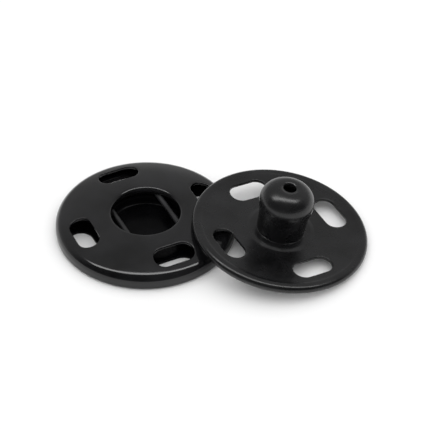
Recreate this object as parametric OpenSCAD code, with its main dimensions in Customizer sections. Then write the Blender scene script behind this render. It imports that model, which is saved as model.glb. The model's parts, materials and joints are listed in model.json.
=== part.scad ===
// Sew-on snap fastener: a socket half that lies on its back, and a stud half that leans on it.
// Millimetres. The origin is on the socket half's axis, in the plane that its back lies on.

/* [Socket half] */
// Diameter over the rolled rim
socket_d = 21.5; // [20.5:0.5:25]
// Thickness of the socket half's sheets
socket_sheet = 0.35; // [0.25:0.05:0.45]
// Height of the lip round the mouth above the back
lip_top = 2.9; // [2.7:0.1:3.3]
// Fall of the domed face from the lip to where its edge bends down
face_fall = 0.9; // [0.6:0.1:1]
// Width of the edge that bends down round the face
edge_w = 0.9; // [0.9:0.05:1.2]
// Radius of that bend
edge_round = 1.15; // [0.8:0.05:1.2]
// Radius of the fold under the edge
rim_roll = 0.4; // [0.4:0.02:0.5]
// Diameter of the mouth
mouth_d = 8.1; // [7.6:0.1:8.4]
// Radius of the lip's top edge
lip_round = 0.45; // [0.36:0.03:0.6]
// Depth of the lip that is turned down into the mouth
lip_drop = 0.8; // [0.7:0.05:1]
// Width of the flat under the rim, where it is folded round the back
hem_w = 1.1; // [0.9:0.05:1.2]
// Room between the mouth and the wall of the well below it
well_room = 0.3; // [0.2:0.05:0.4]
// Clearance between the back's edge and the rim round it
back_gap = 0.15; // [0.05:0.05:0.25]

/* [Sewing slots] */
// Number of slots in each half
slot_count = 4; // [3:1:5]
// Length of a slot
slot_len = 5; // [3.5:0.1:5.4]
// Width of a slot
slot_w = 2.6; // [1.8:0.1:2.7]
// Metal left between a slot and the edge of the socket half
socket_slot_edge = 1.55; // [1.5:0.05:1.8]
// Metal left between a slot and the edge of the stud half
stud_slot_edge = 2.07; // [1.7:0.01:2.2]
// Turn of the socket half's first slot
socket_slot_turn = 26.5; // [0:0.5:45]
// Turn of the stud half's first slot
stud_slot_turn = 31.5; // [0:0.5:90]
// How much wider the slots in the back are, all round, so that the face hides their edges
back_slot_room = 0.15; // [0:0.05:0.2]

/* [Spring] */
// Diameter of the spring wire
wire_d = 0.7; // [0.5:0.05:0.8]
// Clear width between the two straight legs
leg_gap = 5.5; // [5:0.1:5.8]
// Room for the wire outside the lip
spring_room = 0.9; // [0.8:0.05:1]
// Radius of the wire's bends, at its middle
wire_bend = 0.9; // [0.6:0.1:1.2]
// Turn of the legs from the depth direction
leg_turn = 27; // [0:1:45]
// Angle that the gap between the wire's ends takes
end_gap = 34; // [24:2:50]

/* [Stud half] */
// Diameter over the rolled rim
stud_d = 21; // [20:0.5:25]
// Thickness of the stud half's sheet
stud_sheet = 0.38; // [0.3:0.02:0.44]
// Height of the rolled rim
stud_rim_h = 1.05; // [0.95:0.05:1.3]
// Width of the rolled rim
stud_rim_w = 1.1; // [1:0.1:1.3]
// Height of the plate's face above the rim's underside
plate_top = 0.76; // [0.6:0.02:0.86]
// Width of the raised boss round the neck
boss_w = 0.75; // [0.7:0.05:1]
// Rise of the boss above the plate's face
boss_rise = 0.14; // [0.1:0.02:0.3]
// Width over which the boss falls to the plate
boss_slope = 1.2; // [0.8:0.1:1.5]
// Diameter of the neck at its foot
neck_d = 5.7; // [5.2:0.1:6]
// Diameter of the head
head_d = 6.48; // [6.3:0.02:6.9]
// Radius of the head's rounded top
crown_r = 2.05; // [1.5:0.05:2.2]
// Height of the head's straight side
head_side = 0.35; // [0.2:0.05:0.5]
// Height over which the head narrows to the neck
undercut_h = 1.3; // [1:0.1:2]
// Height of the whole stud half
stud_h = 7.14; // [6.8:0.02:7.8]
// Diameter of the hole in the head's top
top_hole_d = 1.6; // [1:0.1:2]

/* [How the halves lie] */
// Distance of the stud half to the right of the socket half
stud_right = 15.84; // [14.5:0.02:17]
// Distance of the stud half towards the front
stud_front = 2.1; // [0:0.05:3]
// Direction in which the stud half's rim reaches down to the floor
low_side = -4; // [-30:1:30]
// Clearance between the stud half's rim and the face that it leans on
lean_gap = 0.08; // [0.05:0.01:0.2]

/* [Hidden] */
$fn = 96;
// Steps in a small rounded corner of a pressed sheet; a large one has more
bend_steps = 5;
steps_by_size = 0.025;
// Clearance between pieces that lie on each other
fit_gap = 0.03;
black = [0.08, 0.08, 0.09];
wire_black = [0.2, 0.2, 0.21];

socket_r = socket_d / 2;
mouth_r = mouth_d / 2;
well_r = mouth_r + well_room;
lip_end = lip_top - lip_drop;
dome_r = socket_r - edge_w;
wire_r = wire_d / 2;
wire_h = lip_end - fit_gap - wire_r;
seat_h = wire_h - wire_r - fit_gap;

// The back's edge lies on the fold of the rim
hem_r = socket_r - hem_w;
back_r = socket_r - socket_sheet - back_gap;
back_edge_h = socket_sheet + fit_gap;

// Slots: the middle of each one, measured from its half's axis
socket_slot_r = socket_r - socket_slot_edge - slot_w / 2;
stud_slot_r = stud_d / 2 - stud_slot_edge - slot_w / 2;

// The ridge of the back stands round the spring, and holds the face up
ridge_in = mouth_r + socket_sheet + spring_room;
ridge_flat = 0.04;
ridge_out = ridge_in + 2 * (socket_sheet + fit_gap) + ridge_flat;
wire_arc = ridge_in - fit_gap - wire_r;
leg_x = leg_gap / 2 + wire_r;

// Height of the face's upper side at a distance r from the axis: a shallow dome
function face_h(r) = lip_top - face_fall * pow((r - mouth_r) / (dome_r - mouth_r), 2);
// How far the dome's line, drawn on straight, has come down at the rim
edge_h = face_h(dome_r) - 2 * face_fall / (dome_r - mouth_r) * edge_w;

// One rounded corner: the points of an arc of radius r that is tangent to both sides at p
function corner(a, p, b, r) =
    let (
        u = (a - p) / norm(a - p),
        v = (b - p) / norm(b - p),
        half = acos(u * v) / 2,
        cut = r / tan(half),
        side = (u + v) / norm(u + v),
        c = p + side * r / sin(half),
        from = p + u * cut - c,
        to = p + v * cut - c,
        sweep = 180 - 2 * half,
        steps = bend_steps + floor(r * sweep * steps_by_size),
        way = sign(from[0] * to[1] - from[1] * to[0])
    )
    [for (i = [0 : steps])
        let (t = way * sweep * i / steps)
        c + [from[0] * cos(t) - from[1] * sin(t), from[0] * sin(t) + from[1] * cos(t)]];

// A bent line: corners are [r, z, radius], and a radius of 0 leaves a plain point
function bent(q) =
    [for (i = [0 : len(q) - 1])
        let (p = [q[i][0], q[i][1]])
        each q[i][2] == 0
            ? [p]
            : corner([q[i - 1][0], q[i - 1][1]], p, [q[i + 1][0], q[i + 1][1]], q[i][2])];

// The line moved to its right by t, which gives a sheet its other side
function beside(q, t) =
    [for (i = [0 : len(q) - 1])
        let (
            a = q[max(i - 1, 0)],
            b = q[min(i + 1, len(q) - 1)],
            d1 = i == 0 ? b - q[i] : q[i] - a,
            d2 = i == len(q) - 1 ? q[i] - a : b - q[i],
            n1 = [d1[1], -d1[0]] / norm(d1),
            n2 = [d2[1], -d2[0]] / norm(d2)
        )
        q[i] + (n1 + n2) * t / (1 + n1 * n2)];

// A pressed sheet: the bent line of its outer side, given thickness and turned round the axis
module pressed(q, t) {
    outer = bent(q);
    inner = beside(outer, t);
    last = len(inner) - 1;
    rotate_extrude()
        polygon(concat(outer, [for (i = [0 : last]) inner[last - i]]));
}

// The sewing slots of one sheet, cut straight through, and wider all round by room
module slots(r, turn, h, room = 0) {
    straight = slot_len - slot_w;
    width = slot_w + 2 * room;
    below = 1;
    for (i = [0 : slot_count - 1])
        rotate(turn + i * 360 / slot_count)
            translate([r, 0, -below])
                linear_extrude(h + below) {
                    square([width, straight], center = true);
                    for (s = [-1, 1]) translate([0, s * straight / 2]) circle(d = width);
                }
}

// The face: lip turned down into the mouth, domed plate, and edge folded under the back
module socket_front() {
    face_steps = 6;
    color(black) difference() {
        pressed([
            [mouth_r, lip_end, 0],
            [mouth_r, lip_top, lip_round],
            for (i = [1 : face_steps])
                let (r = mouth_r + (dome_r - mouth_r) * i / face_steps) [r, face_h(r), 0],
            [socket_r, edge_h, edge_round],
            [socket_r, 0, rim_roll],
            [hem_r, 0, 0]
        ], socket_sheet);
        slots(socket_slot_r, socket_slot_turn, lip_top);
    }
}

// The back: well, seat that carries the spring, ridge under the face, and edge held by the rim
module socket_back() {
    t = socket_sheet;
    // Measured upright, the sloping sheet of the face is a little thicker
    face_upright = t * 1.02;
    ridge_h = face_h(ridge_out) - face_upright - fit_gap;
    well_bend = (seat_h - t) * 0.45;
    fold_out = t + fit_gap;
    fold_in = 0.1;
    rise_w = 0.3;
    color(black) difference() {
        pressed([
            [0, t, 0],
            [well_r, t, well_bend],
            [well_r + fold_in, seat_h, fold_out],
            [ridge_in, seat_h, fold_in],
            [ridge_in, ridge_h, fold_out],
            [ridge_out, ridge_h, fold_out],
            [ridge_out, t, fold_in],
            [hem_r - t - rise_w - fold_in, t, fold_in],
            [hem_r - fold_in, back_edge_h + t, rise_w],
            [back_r, back_edge_h + t, 0]
        ], t);
        slots(socket_slot_r, socket_slot_turn, lip_top, back_slot_room);
    }
}

// Points along an arc of radius r round c, from angle a0 to a1
function arc_line(c, r, a0, a1, steps) =
    [for (i = [0 : steps]) let (t = a0 + (a1 - a0) * i / steps) c + r * [cos(t), sin(t)]];

// The spring: two straight legs joined by an arc, with the free ends turned towards each other
module spring_wire() {
    sides = 12;
    bend_x = leg_x - wire_bend;
    bend_y = sqrt(pow(wire_arc - wire_bend, 2) - pow(bend_x, 2));
    bend_a = atan2(bend_y, bend_x);
    // The arcs end a little before the bends and before the top, where the next line takes over
    step_a = 4;
    half_line = concat(
        arc_line([0, 0], wire_arc, end_gap / 2 - 90, -bend_a - step_a, 3),
        arc_line([bend_x, -bend_y], wire_bend, -bend_a, 0, 5),
        arc_line([bend_x, bend_y], wire_bend, 0, bend_a, 5),
        arc_line([0, 0], wire_arc, bend_a + step_a, 90 - step_a, 3)
    );
    last = len(half_line) - 1;
    line = concat(half_line, [for (i = [0 : last]) [-half_line[last - i][0], half_line[last - i][1]]]);
    rings = len(line);
    points = [
        for (i = [0 : rings - 1])
            let (d = line[min(i + 1, rings - 1)] - line[max(i - 1, 0)], side = [d[1], -d[0]] / norm(d))
            for (k = [0 : sides - 1])
                let (t = 360 * k / sides, p = line[i] + side * wire_r * cos(t))
                [p[0], p[1], wire_r * sin(t)]
    ];
    walls = [
        for (i = [0 : rings - 2])
            for (k = [0 : sides - 1])
                let (a = i * sides, b = a + sides, n = (k + 1) % sides)
                [a + k, b + k, b + n, a + n]
    ];
    ends = [[for (k = [0 : sides - 1]) k], [for (k = [0 : sides - 1]) rings * sides - 1 - k]];
    color(wire_black)
        translate([0, 0, wire_h])
            rotate(leg_turn) polyhedron(points, concat(walls, ends));
}

// How far the stud half tips: its rim just clears the face at the place that comes first
tip_r = stud_d / 2 - stud_rim_h / 2;
function tip_sin(a) =
    let (
        x = stud_right + tip_r * cos(a),
        y = -stud_front + tip_r * sin(a),
        r = norm([x, y])
    )
    r < dome_r ? (face_h(r) + lean_gap) / (tip_r * (1 - cos(a - low_side))) : 0;
tip = asin(max([for (a = [90 : 2 : 270]) tip_sin(a)]));
stud_up = tip_r * sin(tip) + stud_rim_h / 2 * (1 - cos(tip));

// The stud half in its own place: the rim's underside at height 0, the stud upwards
module stud_sheet_form() {
    stud_r = stud_d / 2;
    head_r = head_d / 2;
    neck_r = neck_d / 2;
    boss_r = neck_r + boss_w;
    boss_h = plate_top + boss_rise;
    head_foot = stud_h - crown_r - head_side;
    neck_lean = 0.1;
    neck_bend = 0.55;
    head_bend = 1;
    throat_bend = 2;
    boss_bend = 0.15;
    plate_bend = 1;
    rim_in = stud_r - stud_rim_w;
    rim_rise = 0.2;
    rim_foot = 0.25;
    rim_fold = 0.4;
    rim_roll_r = stud_rim_h / 2;
    hem = 0.8;
    pressed([
        [top_hole_d / 2, stud_h, 0],
        [head_r, stud_h, crown_r],
        [head_r, head_foot, head_bend],
        [neck_r + neck_lean, head_foot - undercut_h, throat_bend],
        [neck_r, boss_h, neck_bend],
        [boss_r, boss_h, boss_bend],
        [boss_r + boss_slope, plate_top, plate_bend],
        [rim_in, plate_top, rim_foot],
        [rim_in + rim_rise, stud_rim_h, rim_fold],
        [stud_r, stud_rim_h, rim_roll_r],
        [stud_r, 0, rim_roll_r],
        [stud_r - hem, 0, 0]
    ], stud_sheet);
}

// The stud half: one pressed sheet with a hollow stud, laid against the socket half
module stud_plate() {
    color(black)
        translate([stud_right, -stud_front, stud_up])
            rotate(low_side) rotate([0, tip, 0]) rotate(-low_side)
                difference() {
                    stud_sheet_form();
                    slots(stud_slot_r, stud_slot_turn, stud_rim_h);
                }
}

socket_front();
socket_back();
spring_wire();
stud_plate();
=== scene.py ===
"""A sew-on snap fastener in black lacquered metal: a socket half on its back, a stud half against it."""

import json
import math

import bmesh
import bpy
import numpy as np
from mathutils import Matrix, Vector


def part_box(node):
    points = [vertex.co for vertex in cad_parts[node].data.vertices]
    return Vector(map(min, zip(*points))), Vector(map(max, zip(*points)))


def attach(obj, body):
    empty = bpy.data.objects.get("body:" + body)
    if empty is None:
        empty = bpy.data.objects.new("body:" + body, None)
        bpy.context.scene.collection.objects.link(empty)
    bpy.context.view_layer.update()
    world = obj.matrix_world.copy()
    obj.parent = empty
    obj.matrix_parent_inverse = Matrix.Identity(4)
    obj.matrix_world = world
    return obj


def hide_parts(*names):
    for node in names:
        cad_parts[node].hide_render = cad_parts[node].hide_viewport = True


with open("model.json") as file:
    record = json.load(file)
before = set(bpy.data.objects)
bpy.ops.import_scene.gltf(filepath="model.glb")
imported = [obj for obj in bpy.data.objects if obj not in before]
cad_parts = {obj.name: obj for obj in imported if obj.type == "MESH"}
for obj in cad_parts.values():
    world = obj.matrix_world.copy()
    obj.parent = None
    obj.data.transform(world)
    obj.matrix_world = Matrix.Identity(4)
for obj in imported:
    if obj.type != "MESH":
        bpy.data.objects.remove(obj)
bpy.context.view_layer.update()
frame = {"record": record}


# Face of the socket half
# One disc of thin sheet, pressed into a shallow dome. Its middle is turned down into a round
# mouth, its edge is rolled under the back, and four sewing slots are punched through it.
# Sizes are in millimetres, and become metres where a mesh is made.
mm = 0.001
mounts = {mount["name"]: mount for mount in frame["record"]["mounts"]}
socket_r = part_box("socket_front")[1][0] / mm
lip_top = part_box("socket_front")[1][2] / mm
mouth_r = mounts["socket_mouth"]["dims"]["r_mm"]
sheet = 0.35
lip_drop = 0.8
lip_round = 0.45
lip_clear = 0.7
face_fall = 0.9
edge_w = 0.9
edge_round = 1.15
rim_roll = 0.4
hem_w = 1.1
slot_len = 5.0
slot_w = 2.6
slot_r = 7.9
slot_turn = math.radians(26.5)
slot_count = 4
slot_edge_round = 0.13


def arc_corner(before, corner, after, radius, steps=40):
    """Points of the arc of one radius that touches both sides of a corner."""
    u, v = before - corner, after - corner
    u, v = u / np.linalg.norm(u), v / np.linalg.norm(v)
    half = math.acos(float(u @ v)) / 2
    centre = corner + (u + v) / np.linalg.norm(u + v) * radius / math.sin(half)
    start = corner + u * radius / math.tan(half) - centre
    end = corner + v * radius / math.tan(half) - centre
    sweep = (math.pi - 2 * half) * math.copysign(1, start[0] * end[1] - start[1] * end[0])
    turn = np.linspace(0, sweep, steps)
    x, y = start
    across = x * np.cos(turn) - y * np.sin(turn)
    upward = x * np.sin(turn) + y * np.cos(turn)
    return centre + np.stack([across, upward], 1)


def sheet_line(corners, soften, step=0.01):
    """A bent line through corners (r, z, radius): straight sides joined by tangent arcs, cut into steps
    of one length, and then averaged with a Gaussian of width soften, as thick lacquer rounds a bend."""
    at = np.array(corners, float)
    points = [at[:1, :2]]
    for before, corner, after in zip(at, at[1:], at[2:]):
        if corner[2]:
            points.append(arc_corner(before[:2], corner[:2], after[:2], corner[2]))
        else:
            points.append(corner[None, :2])
    line = np.concatenate(points + [at[-1:, :2]])
    run = np.concatenate([[0], np.cumsum(np.hypot(*np.diff(line, axis=0).T))])
    even = np.linspace(0, run[-1], int(run[-1] / step))
    line = np.stack([np.interp(even, run, line[:, 0]), np.interp(even, run, line[:, 1])], 1)
    reach = int(4 * soften / step)
    weight = np.exp(-0.5 * (np.arange(-reach, reach + 1) * step / soften) ** 2)
    long = np.concatenate([2 * line[0] - line[reach:0:-1], line, 2 * line[-1] - line[-2:-reach - 2:-1]])
    return np.stack([np.convolve(long[:, k], weight / weight.sum(), "valid") for k in (0, 1)], 1)


def other_side(line, thickness):
    """The line moved to its right by the thickness, along its own normals."""
    along = np.gradient(line, axis=0)
    along /= np.linalg.norm(along, axis=1, keepdims=True)
    return line + thickness * np.stack([along[:, 1], -along[:, 0]], 1)


def spaced(line, turn=math.radians(7), length=0.45):
    """Fewer points of a fine line: each step turns by at most turn, or is at most length long."""
    along = np.diff(line, axis=0)
    heading = np.unwrap(np.arctan2(along[:, 1], along[:, 0]))
    cost = np.hypot(*along.T) / length
    cost[1:] += np.abs(np.diff(heading)) / turn
    total = np.concatenate([[0], np.cumsum(cost)])
    at = np.linspace(0, total[-1], int(total[-1]) + 2)
    return np.stack([np.interp(at, total, line[:, 0]), np.interp(at, total, line[:, 1])], 1)


def quads(rows, columns, closed=True):
    """Corner numbers of the faces of a grid, whose columns may join up into a ring."""
    number = np.arange(rows * columns).reshape(rows, columns)
    if closed:
        number = np.concatenate([number, number[:, :1]], 1)
    corners = [number[:-1, :-1], number[1:, :-1], number[1:, 1:], number[:-1, 1:]]
    return np.stack(corners, -1).reshape(-1, 4)


def revolved(line, angles):
    """Grid of a line turned round the axis: x = r cos(angle), y = r sin(angle), z stays."""
    r, z = line[:, :1], line[:, 1:]
    return np.stack([r * np.cos(angles), r * np.sin(angles), z + 0 * angles], -1)


def slot_outline(flat, length, width):
    """Where rays from the middle of a slot with round ends, towards the points flat, cross its edge,
    and the edge's outward normals there: a side is x = +-width/2, an end is a circle of that radius."""
    ray = flat / np.linalg.norm(flat, axis=1, keepdims=True)
    r, run = width / 2, (length - width) / 2
    middle = run * np.sign(ray[:, 1])
    lean = ray[:, 1] * middle
    to_end = lean + np.sqrt(np.maximum(lean**2 - run**2 + r**2, 0))
    straight = np.abs(ray[:, 1]) * r <= run * np.abs(ray[:, 0])
    reach = np.where(straight, r / np.maximum(np.abs(ray[:, 0]), 1e-9), to_end)
    edge = ray * reach[:, None]
    end_normal = (edge - np.stack([0 * middle, middle], 1)) / r
    side_normal = np.stack([np.sign(ray[:, 0]), 0 * middle], 1)
    return edge, np.where(straight[:, None], side_normal, end_normal)


def slot_field(line, r_from, r_to, middle_r, turn, slot_round, room, columns, way, rows=14, rings=9):
    """Grid of a quarter of a pressed sheet round one slot. A loop round the quarter's border is joined
    to the slot's edge by straight lines in (angle, r), and every height is that of the line at r. Next
    to the slot it sinks by slot_round - sqrt(slot_round^2 - (slot_round - distance)^2), times way."""
    half = math.pi / slot_count
    a = np.linspace(-half, half, columns + 1)[:-1]
    b = np.linspace(r_from, r_to, rows + 1)[:-1]
    border = np.concatenate([
        np.stack([a, 0 * a + r_from], 1), np.stack([0 * b + half, b], 1),
        np.stack([-a, 0 * a + r_to], 1), np.stack([0 * b - half, r_to + r_from - b], 1)])
    flat = np.stack([border[:, 1] - middle_r, border[:, 0] * middle_r], 1)
    edge, normal = slot_outline(flat, slot_len + 2 * room, slot_w + 2 * room)
    distance = slot_round * (1 - np.cos(np.linspace(0, math.pi / 2, 7)))
    near = edge + normal * distance[:, None, None]
    x, y = near[..., 0] + middle_r, near[..., 1]
    polar = np.stack([np.arctan2(y, x), np.hypot(x, y)], -1)
    mix = np.linspace(0, 1, rings)[1:, None, None]
    polar = np.concatenate([polar, polar[-1] * (1 - mix) + border * mix])
    sink = slot_round - np.sqrt(slot_round**2 - (slot_round - distance) ** 2)
    sink = np.concatenate([sink, np.zeros(rings - 1)])[:, None]
    order = np.argsort(line[:, 0])
    z = np.interp(polar[..., 1], line[order, 0], line[order, 1]) - way * sink
    angle, r = polar[..., 0] + turn, polar[..., 1]
    return np.stack([r * np.cos(angle), r * np.sin(angle), z], -1)


def slotted_sheet(outer, thickness, face_part, r_from, r_to, middle_r, turn, slot_round,
                  room=0, columns=64):
    """Grids of a whole pressed sheet with its slots: the outer line and the line beside it, turned
    round the axis, with the stretch from r_from to r_to made of slot fields, and short walls between
    both sides round each slot and at the line's two ends. face_part says where that stretch is."""
    inner = other_side(outer, thickness)
    step_count = slot_count * columns
    angles = turn + math.pi / slot_count + np.arange(step_count) * 2 * math.pi / step_count
    grids, fields = [], []
    for line, way in ((outer, 1), (inner, -1)):
        part = line[face_part]
        stops = [np.interp(r, part[:, 0], part[:, 1]) for r in (r_from, r_to)]
        first = face_part.start + int(np.searchsorted(part[:, 0], r_from))
        last = face_part.start + int(np.searchsorted(part[:, 0], r_to))
        grids.append(revolved(spaced(np.concatenate([line[:first], [[r_from, stops[0]]]])), angles))
        grids.append(revolved(spaced(np.concatenate([[[r_to, stops[1]]], line[last:]])), angles))
        round_here = slot_round if way > 0 else slot_round / 2
        fields.append([
            slot_field(part, r_from, r_to, middle_r, turn + k * 2 * math.pi / slot_count,
                       round_here, room, columns, way)
            for k in range(slot_count)])
    grids += fields[0] + fields[1]
    for upper, lower in zip(*fields):
        mix = np.linspace(0, 1, 4)[:, None, None]
        grids.append(upper[0] * (1 - mix) + lower[0] * mix)
    for end in (0, -1):
        if outer[end][0] > 0:
            mix = np.linspace(0, 1, 4)[:, None]
            grids.append(revolved(outer[end] * (1 - mix) + inner[end] * mix, angles))
    return grids


def piece(name, grids, material, node, place=None):
    """One closed mesh of several grids in millimetres, welded where they meet and turned outwards."""
    points, faces, start = [], [], 0
    for grid in grids:
        rows, columns = grid.shape[:2]
        points.append(grid.reshape(-1, 3))
        faces.append(quads(rows, columns) + start)
        start += rows * columns
    co = np.concatenate(points) * mm
    if place is not None:
        co = co @ place[:3, :3].T + place[:3, 3]
    mesh = bpy.data.meshes.new(name)
    mesh.from_pydata(co, [], np.concatenate(faces))
    work = bmesh.new()
    work.from_mesh(mesh)
    bmesh.ops.remove_doubles(work, verts=work.verts, dist=2e-7)
    bmesh.ops.recalc_face_normals(work, faces=work.faces)
    work.to_mesh(mesh)
    work.free()
    mesh.shade_smooth()
    made = bpy.data.objects.new(name, mesh)
    bpy.context.scene.collection.objects.link(made)
    made.data.materials.append(material)
    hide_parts(node)
    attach(made, "root")


clear_ior = 1.5
dull_scale = 420
patch_scale = 260
ripple_scale = 900
grain_scale = 9000


def lacquer(name, colour, gloss, ripple, grain, shine=0.5):
    """Stoved black lacquer: a dark ground in faint patches under a clear skin, with a ripple of about
    a millimetre, a finer grain, and a gloss that varies a little. The scales count features a metre."""
    made = bpy.data.materials.new(name)
    made.use_nodes = True
    nodes, links = made.node_tree.nodes, made.node_tree.links
    shader = nodes["Principled BSDF"]
    shader.inputs["IOR"].default_value = clear_ior
    shader.inputs["Specular IOR Level"].default_value = shine
    where = nodes.new("ShaderNodeTexCoord").outputs["Object"]

    def noise(scale, detail):
        texture = nodes.new("ShaderNodeTexNoise")
        texture.inputs["Scale"].default_value = scale
        texture.inputs["Detail"].default_value = detail
        links.new(where, texture.inputs["Vector"])
        return texture.outputs["Fac"]

    def remap(source, low, high):
        spread = nodes.new("ShaderNodeMapRange")
        spread.inputs["From Min"].default_value = 0.3
        spread.inputs["From Max"].default_value = 0.7
        spread.inputs["To Min"].default_value = low
        spread.inputs["To Max"].default_value = high
        links.new(source, spread.inputs["Value"])
        return spread.outputs["Result"]

    links.new(remap(noise(dull_scale, 3), gloss * 0.85, gloss * 1.2), shader.inputs["Roughness"])
    ground = nodes.new("ShaderNodeMix")
    ground.data_type = "RGBA"
    thin, thick = ground.inputs[6], ground.inputs[7]
    thin.default_value = (*[part * 0.5 for part in colour], 1)
    thick.default_value = (*[part * 2 for part in colour], 1)
    links.new(remap(noise(patch_scale, 2), 0, 1), ground.inputs["Factor"])
    links.new(ground.outputs[2], shader.inputs["Base Color"])
    coarse = nodes.new("ShaderNodeBump")
    coarse.inputs["Strength"].default_value = 1
    coarse.inputs["Distance"].default_value = ripple
    links.new(noise(ripple_scale, 1), coarse.inputs["Height"])
    fine = nodes.new("ShaderNodeBump")
    fine.inputs["Strength"].default_value = 1
    fine.inputs["Distance"].default_value = grain
    links.new(noise(grain_scale, 2), fine.inputs["Height"])
    links.new(coarse.outputs["Normal"], fine.inputs["Normal"])
    links.new(fine.outputs["Normal"], shader.inputs["Normal"])
    return made


dome_r = socket_r - edge_w
edge_h = lip_top - face_fall - 2 * face_fall / (dome_r - mouth_r) * edge_w


def face_height(r):
    """Height of the dome's upper side: it falls with the square of the distance from the mouth."""
    return lip_top - face_fall * ((r - mouth_r) / (dome_r - mouth_r)) ** 2


front_line = sheet_line([
    (mouth_r, lip_top - lip_drop, 0), (mouth_r, lip_top, lip_round),
    *[(r, face_height(r), 0) for r in np.linspace(mouth_r + lip_clear, dome_r, 40)],
    (socket_r, edge_h, edge_round), (socket_r, 0, rim_roll), (socket_r - hem_w, 0, 0)], soften=0.05)
dome_start = int(np.argmax(front_line[:, 0] > mouth_r + 0.6))
dome_end = int(np.argmax(front_line[:, 0] > socket_r - 0.3))
enamel = lacquer("black_lacquer", (0.005, 0.005, 0.0055), gloss=0.11, ripple=2e-6, grain=1.2e-7)
piece(
    "socket_face",
    slotted_sheet(front_line, sheet, slice(dome_start, dome_end), mouth_r + 1.2, dome_r - 0.05,
                  slot_r, slot_turn, slot_edge_round),
    enamel, "socket_front")


# Back of the socket half
# A second disc of the same sheet. Its middle is pressed down into a well for the stud's head, a flat
# ring carries the spring, a ridge stands round the spring, and the face's edge is folded over it.
fit_gap = 0.03
wire_r = 0.35
spring_room = 0.9
back_slot_room = 0.15
floor_round = 0.45
wire_h = lip_top - lip_drop - fit_gap - wire_r
seat_h = wire_h - wire_r - fit_gap
ridge_in = mouth_r + sheet + spring_room
ridge_out = ridge_in + 2 * (sheet + fit_gap) + 0.04
ridge_h = face_height(ridge_out) - sheet * 1.02 - fit_gap
hem_r = socket_r - hem_w
well_r = mouth_r + 0.3
fold = sheet + fit_gap
back_line = sheet_line([
    (0, sheet, 0), (well_r, sheet, (seat_h - sheet) * floor_round), (well_r + 0.1, seat_h, fold),
    (ridge_in, seat_h, 0.1), (ridge_in, ridge_h, fold), (ridge_out, ridge_h, fold),
    (ridge_out, sheet, 0.1), (hem_r - sheet - 0.4, sheet, 0.1), (hem_r - 0.1, 2 * sheet + fit_gap, 0.3),
    (socket_r - sheet - 0.15, 2 * sheet + fit_gap, 0)], soften=0.035)
back_line[:, 0] = np.maximum(back_line[:, 0], 0)
# Painted shade in part: the back's ground is about three times darker than the face's and its shine is
# weak, so that the inside of the mouth and the slots stay nearly black.
dull_painted_shade = lacquer(
    "black_lacquer_inside_painted_shade", (0.0015, 0.0015, 0.0018), gloss=0.25, ripple=1.5e-6, grain=3e-7, shine=0.06)
gutter_start = int(np.argmax(back_line[:, 0] > ridge_out + 0.06))
piece(
    "socket_back_shell",
    slotted_sheet(back_line, sheet, slice(gutter_start, len(back_line)), ridge_out + 0.14, hem_r - 0.05,
                  slot_r, slot_turn, slot_edge_round / 2, room=back_slot_room),
    dull_painted_shade, "socket_back")


# Spring
# One length of hard round wire, bent so that two straight legs cross the mouth on either side of
# the stud's neck. The arc at one end joins them, and the free ends curve round at the other.
wire_bend = 0.9
leg_gap = 5.5
leg_x = leg_gap / 2 + wire_r
leg_turn = math.radians(27)
end_gap = math.radians(34)
wire_arc = ridge_in - fit_gap - wire_r


def arc(centre, radius, start, end, steps):
    """Points of a circle's arc from one angle to another."""
    turn = np.linspace(start, end, steps)
    return np.stack([centre[0] + radius * np.cos(turn), centre[1] + radius * np.sin(turn)], 1)


def wire(line, radius, sides=24):
    """Grid of a round wire along a flat line: a ring across it at every point, and a half ball at each
    end, whose rings shrink with the cosine of an angle and move out with its sine."""
    along = np.gradient(line, axis=0)
    along /= np.linalg.norm(along, axis=1, keepdims=True)
    cap = np.linspace(0, math.pi / 2, 7)
    start = line[:1] - along[:1] * radius * np.sin(cap)[::-1, None]
    end = line[-1:] + along[-1:] * radius * np.sin(cap)[:, None]
    middle = np.concatenate([start, line[1:-1], end])
    aim = np.concatenate([along[:1].repeat(7, 0), along[1:-1], along[-1:].repeat(7, 0)])
    size = radius * np.concatenate([np.cos(cap)[::-1], np.ones(len(line) - 2), np.cos(cap)])
    round_ = np.linspace(0, 2 * math.pi, sides, endpoint=False)
    out = size[:, None] * np.cos(round_)
    return np.stack([
        middle[:, :1] + aim[:, 1:] * out,
        middle[:, 1:] - aim[:, :1] * out,
        size[:, None] * np.sin(round_)], -1)


bend_x = leg_x - wire_bend
bend_y = math.sqrt((wire_arc - wire_bend) ** 2 - bend_x**2)
bend_a = math.atan2(bend_y, bend_x)
half_spring = np.concatenate([
    arc((0, 0), wire_arc, end_gap / 2 - math.pi / 2, -bend_a, 20)[:-1],
    arc((bend_x, -bend_y), wire_bend, -bend_a, 0, 14),
    np.stack([np.full(14, leg_x), np.linspace(-bend_y, bend_y, 16)[1:-1]], 1),
    arc((bend_x, bend_y), wire_bend, 0, bend_a, 14),
    arc((0, 0), wire_arc, bend_a, math.pi / 2, 12)[1:]])
spring_line = np.concatenate([half_spring, half_spring[-2::-1] * [-1, 1]])
cos_turn, sin_turn = math.cos(leg_turn), math.sin(leg_turn)
spring_line = spring_line @ np.array([[cos_turn, sin_turn], [-sin_turn, cos_turn]])
spring_grid = wire(spring_line, wire_r) + [0, 0, wire_h]
dark_wire = lacquer("dark_wire", (0.012, 0.012, 0.013), gloss=0.3, ripple=1e-6, grain=3e-7)
piece("spring", [spring_grid], dark_wire, "spring_wire")


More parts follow.
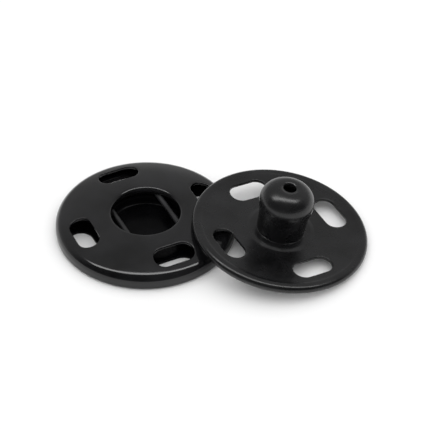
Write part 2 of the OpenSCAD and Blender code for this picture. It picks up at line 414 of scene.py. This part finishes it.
# Stud half
# One disc of sheet, drawn up in the middle into a hollow stud with a rounded head and a small hole in
# its top. A low boss stands round the stud, the plate is dished a little from there to its rolled
# edge, and four sewing slots are punched.
stud_r = 10.5
stud_sheet = 0.38
stud_rim_h = 1.05
stud_rim_w = 1.1
plate_top = 0.76
boss_r = 3.6
boss_rise = 0.14
boss_slope = 0.5
plate_dish = 0.22
neck_r = 2.85
head_r = mounts["stud_head"]["dims"]["r_mm"]
crown_r = 2.05
head_side = 0.35
undercut_h = 1.3
stud_h = 7.14
top_hole_r = 0.8
stud_slot_r = 7.13
stud_slot_turn = math.radians(31.5)
pin_h = 4.97
boss_h = plate_top + boss_rise
plate_from = boss_r + boss_slope
rim_in = stud_r - stud_rim_w
head_foot = stud_h - crown_r - head_side
stud_line = sheet_line([
    (top_hole_r, stud_h, 0), (head_r, stud_h, crown_r), (head_r, head_foot, 1),
    (neck_r + 0.1, head_foot - undercut_h, 2), (neck_r, boss_h, 0),
    (boss_r, boss_h, 0.2), (plate_from, plate_top, 0.2),
    *[(r, plate_top + plate_dish * ((r - plate_from) / (rim_in - plate_from)) ** 2, 0)
      for r in np.linspace(plate_from + 0.5, rim_in, 30)],
    (rim_in + 0.2, stud_rim_h, 0.1), (stud_r, stud_rim_h, stud_rim_h / 2),
    (stud_r, 0, stud_rim_h / 2), (stud_r - 0.8, 0, 0)], soften=0.05)
plate_start = int(np.argmax(stud_line[:, 0] > boss_r + 0.5))
plate_end = int(np.argmax(stud_line[:, 0] > rim_in))

# The half's tilt and place, from the pin mount on its head
lean = np.array(mounts["stud_head"]["axis"])
tip = Vector((0, 0, 1)).rotation_difference(Vector(lean)).to_matrix()
stud_place = np.eye(4)
stud_place[:3, :3] = np.array(tip)
stud_place[:3, 3] = np.array(mounts["stud_head"]["pos_m"]) - lean * pin_h * mm
stud_lacquer = lacquer(
    "black_lacquer_stud", (0.005, 0.005, 0.0055), gloss=0.26, ripple=2e-5, grain=2e-7)
piece(
    "stud_half",
    slotted_sheet(stud_line, stud_sheet, slice(plate_start, plate_end), boss_r + 1.5, rim_in - 0.2,
                  stud_slot_r, stud_slot_turn, slot_edge_round),
    stud_lacquer, "stud_plate", stud_place)


# Floor and light
# A flat sheet of white paper, one long soft lamp overhead, and a pale wall on the far side. The side
# where the camera stands is dark, so that the near flanks of the black lacquer stay dark too, and
# what falls on matt things comes mostly from straight above.
def stage_plane(name, size, z):
    """A flat square on the ground."""
    s = size / 2
    mesh = bpy.data.meshes.new(name)
    mesh.from_pydata([(-s, -s, z), (s, -s, z), (s, s, z), (-s, s, z)], [], [(0, 1, 2, 3)])
    made = bpy.data.objects.new(name, mesh)
    bpy.context.scene.collection.objects.link(made)
    return made


floor = stage_plane("floor", 2.0, -1e-5)  # a hair below the parts, so that no faces coincide
paper = bpy.data.materials.new("white_paper")
paper.use_nodes = True
paper_shader = paper.node_tree.nodes["Principled BSDF"]
paper_shader.inputs["Base Color"].default_value = (0.9, 0.9, 0.9, 1)
paper_shader.inputs["Roughness"].default_value = 0.6
paper_shader.inputs["Specular IOR Level"].default_value = 0.2
paper_shader.inputs["Emission Color"].default_value = (1, 1, 1, 1)
paper_shader.inputs["Emission Strength"].default_value = 0.02
floor.data.materials.append(paper)

lamp_long = 0.47
lamp_wide = 0.075
lamp_height = 0.30
lamp_radiance = 6
lamp_data = bpy.data.lights.new("softbox", "AREA")
lamp_data.shape = "RECTANGLE"
lamp_data.size = lamp_long
lamp_data.size_y = lamp_wide
lamp_data.energy = math.pi * lamp_radiance * lamp_long * lamp_wide
lamp = bpy.data.objects.new("softbox", lamp_data)
lamp.location = (0.008, 0.0, lamp_height)
lamp.visible_camera = False
lamp.visible_diffuse = False
bpy.context.scene.collection.objects.link(lamp)

world = bpy.data.worlds.new("studio")
bpy.context.scene.world = world
world.use_nodes = True
sky, wires = world.node_tree.nodes, world.node_tree.links
surround = sky["Background"]
split = sky.new("ShaderNodeSeparateXYZ")
wires.new(sky.new("ShaderNodeTexCoord").outputs["Generated"], split.inputs["Vector"])
depth = sky.new("ShaderNodeMapRange")
depth.interpolation_type = "SMOOTHSTEP"
depth.inputs["From Min"].default_value = -0.35
depth.inputs["From Max"].default_value = 0.35
depth.inputs["To Min"].default_value = 0.06
depth.inputs["To Max"].default_value = 0.42
wires.new(split.outputs["Y"], depth.inputs["Value"])
low = sky.new("ShaderNodeMapRange")
low.interpolation_type = "SMOOTHSTEP"
low.inputs["From Min"].default_value = 0.0
low.inputs["From Max"].default_value = 0.35
low.inputs["To Min"].default_value = 1.6
low.inputs["To Max"].default_value = 1.0
wires.new(split.outputs["Z"], low.inputs["Value"])
both = sky.new("ShaderNodeMath")
both.operation = "MULTIPLY"
wires.new(depth.outputs["Result"], both.inputs[0])
wires.new(low.outputs["Result"], both.inputs[1])
wires.new(both.outputs["Value"], surround.inputs["Strength"])
surround.inputs["Color"].default_value = (1, 1, 1, 1)
ray = sky.new("ShaderNodeLightPath")
below = surround.outputs["Background"]
for kind, horizon, zenith in (("Is Diffuse Ray", 0.12, 1.7), ("Is Camera Ray", 1.0, 1.0)):
    dome = sky.new("ShaderNodeMapRange")
    dome.inputs["To Min"].default_value = horizon
    dome.inputs["To Max"].default_value = zenith
    wires.new(split.outputs["Z"], dome.inputs["Value"])
    glow = sky.new("ShaderNodeBackground")
    wires.new(dome.outputs["Result"], glow.inputs["Strength"])
    mix = sky.new("ShaderNodeMixShader")
    wires.new(ray.outputs[kind], mix.inputs["Fac"])
    wires.new(below, mix.inputs[1])
    wires.new(glow.outputs["Background"], mix.inputs[2])
    below = mix.outputs["Shader"]
    glow.inputs["Color"].default_value = (1, 1, 1, 1)
wires.new(below, sky["World Output"].inputs["Surface"])


# Camera
# It looks along +Y and down at the pair, from a quarter of a metre, as the photograph was taken.
camera_down = math.radians(41.19)
camera_roll = math.radians(0.68)
camera_back = 0.250
target = np.array([8.221, 2.643, 0]) * mm
pixels_per_mm = 8.307
image_side = 430
sensor = 36

forward = np.array([0, math.cos(camera_down), -math.sin(camera_down)])
right, up = np.array([1.0, 0, 0]), np.array([0, math.sin(camera_down), math.cos(camera_down)])
rolled_right = right * math.cos(camera_roll) + up * math.sin(camera_roll)
rolled_up = up * math.cos(camera_roll) - right * math.sin(camera_roll)
stand = np.eye(4)
stand[:3, 0], stand[:3, 1], stand[:3, 2] = rolled_right, rolled_up, -forward
stand[:3, 3] = target - forward * camera_back
camera_data = bpy.data.cameras.new("camera")
camera_data.sensor_width = sensor
camera_data.lens = pixels_per_mm / mm * camera_back / image_side * sensor
camera = bpy.data.objects.new("camera", camera_data)
camera.matrix_world = Matrix(stand)
bpy.context.scene.collection.objects.link(camera)
bpy.context.scene.camera = camera
bpy.context.scene.view_settings.view_transform = "Standard"
